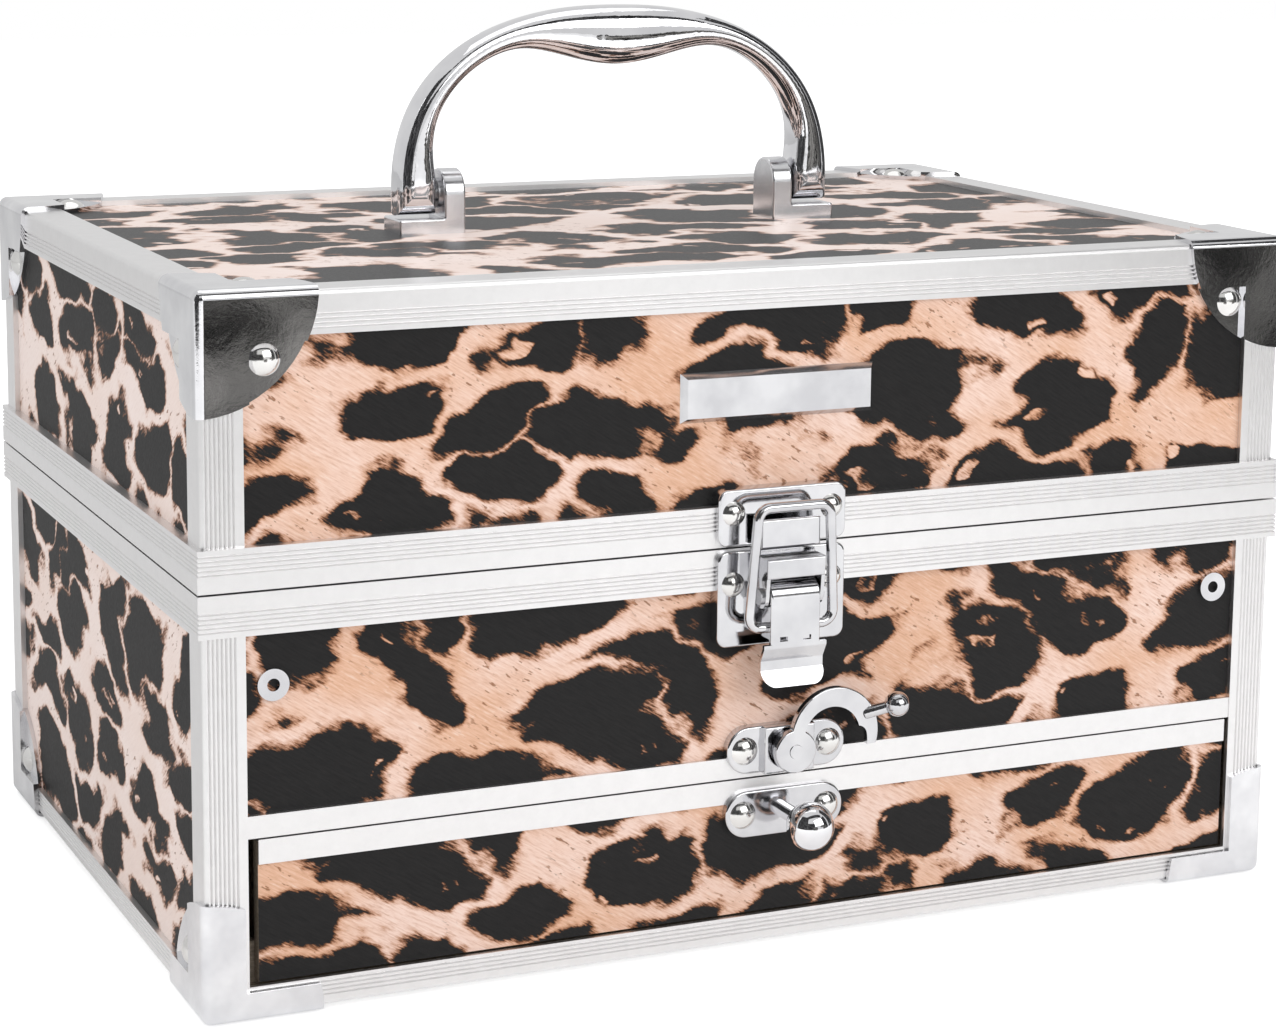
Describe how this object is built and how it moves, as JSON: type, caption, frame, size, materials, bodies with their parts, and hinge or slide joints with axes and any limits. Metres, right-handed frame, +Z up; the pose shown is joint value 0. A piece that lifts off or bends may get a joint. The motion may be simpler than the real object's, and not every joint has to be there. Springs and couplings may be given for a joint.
{
  "type": "makeup train case",
  "caption": "Box-shaped makeup train case with ribbed aluminium edging, corner caps, lift-up lid, draw latch, carrying handle and a front drawer held by a swing hook.",
  "frame": {"origin": "centre of the underside, in the middle of the case's width and depth", "axes": "+Z up, +X to the right seen from the front, -Y out of the front with the latch and the drawer"},
  "size_m": [0.2504, 0.193, 0.1951],
  "materials": {
    "printed_board": "satin laminate printed with a leopard pattern",
    "raw_board": "raw fibreboard",
    "edging": "ribbed satin",
    "corner_cap": "pressed, satin chrome",
    "chrome": "bright plated",
    "rivet": "bright nickel",
    "steel": "satin nickel",
    "felt": "black felt"
  },
  "bodies": {
    "case": {"case_bottom_board": "raw_board", "case_front_board": "printed_board", "case_back_board": "printed_board", "case_left_board": "printed_board", "case_right_board": "printed_board", "case_shelf": "raw_board", "drawer_rail": "edging", "case_lining": "felt", "case_posts": "edging", "case_rim_front": "edging", "case_rim_back": "edging", "case_rim_sides": "edging", "bottom_trim_front": "edging", "bottom_trim_back": "edging", "bottom_trim_sides": "edging", "base_corners": "corner_cap", "base_corner_rivets_left": "rivet", "base_corner_rivets_right": "rivet", "front_eyelets": "rivet", "drawer_runners": "raw_board", "hinge_case_leaves": "steel", "hinge_pins": "steel", "latch_base": "chrome", "latch_pin": "steel", "hook_plate": "chrome", "hook_pivot": "chrome", "case_plate_rivets": "rivet"},
    "lid": {"lid_top_board": "printed_board", "lid_front_board": "printed_board", "lid_back_board": "printed_board", "lid_left_board": "printed_board", "lid_right_board": "printed_board", "lid_lining": "felt", "lid_posts": "edging", "lid_rim_front": "edging", "lid_rim_back": "edging", "lid_rim_sides": "edging", "lid_trim_front": "edging", "lid_trim_back": "edging", "lid_trim_sides": "edging", "lid_corners": "corner_cap", "lid_corner_rivets_left": "rivet", "lid_corner_rivets_right": "rivet", "nameplate": "chrome", "latch_keeper": "chrome", "keeper_rivets": "rivet", "handle_brackets": "corner_cap", "handle_pins": "steel", "hinge_lid_leaves": "steel"},
    "handle": {"handle": "chrome"},
    "lever": {"latch_lever": "chrome"},
    "bail": {"latch_bail": "chrome"},
    "drawer": {"drawer_front": "printed_board", "drawer_strip": "edging", "drawer_walls": "raw_board", "drawer_bottom": "raw_board", "stud_plate": "chrome", "ball_stud": "chrome", "stud_plate_rivets": "rivet"},
    "hook": {"drawer_hook": "chrome"}
  },
  "joints": [
    {"name": "lid_hinge", "type": "hinge", "parent": "case", "child": "lid", "pos_m": [0, 0.0877, 0.0876], "axis": [-1, 0, 0], "range_deg": [0, 100]},
    {"name": "drawer_slide", "type": "slide", "parent": "case", "child": "drawer", "axis": [0, -1, 0], "range_m": [0, 0.105]},
    {"name": "handle_hinge", "type": "hinge", "parent": "lid", "child": "handle", "pos_m": [0, 0.0032, 0.1535], "axis": [1, 0, 0], "range_deg": [-85, 85]},
    {"name": "lever_hinge", "type": "hinge", "parent": "case", "child": "lever", "pos_m": [0, -0.09, 0.078], "axis": [-1, 0, 0], "range_deg": [0, 100]},
    {"name": "bail_hinge", "type": "hinge", "parent": "lever", "child": "bail", "pos_m": [0, -0.0908, 0.0715], "axis": [-1, 0, 0], "range_deg": [-80, 0]},
    {"name": "hook_hinge", "type": "hinge", "parent": "case", "child": "hook", "pos_m": [0.0026, -0.08875, 0.0435], "axis": [0, 1, 0], "range_deg": [0, 95]}
  ],
  "couplings": [
    {"joint": "bail_hinge", "follows": "lever_hinge", "ratio": -0.8}
  ]
}
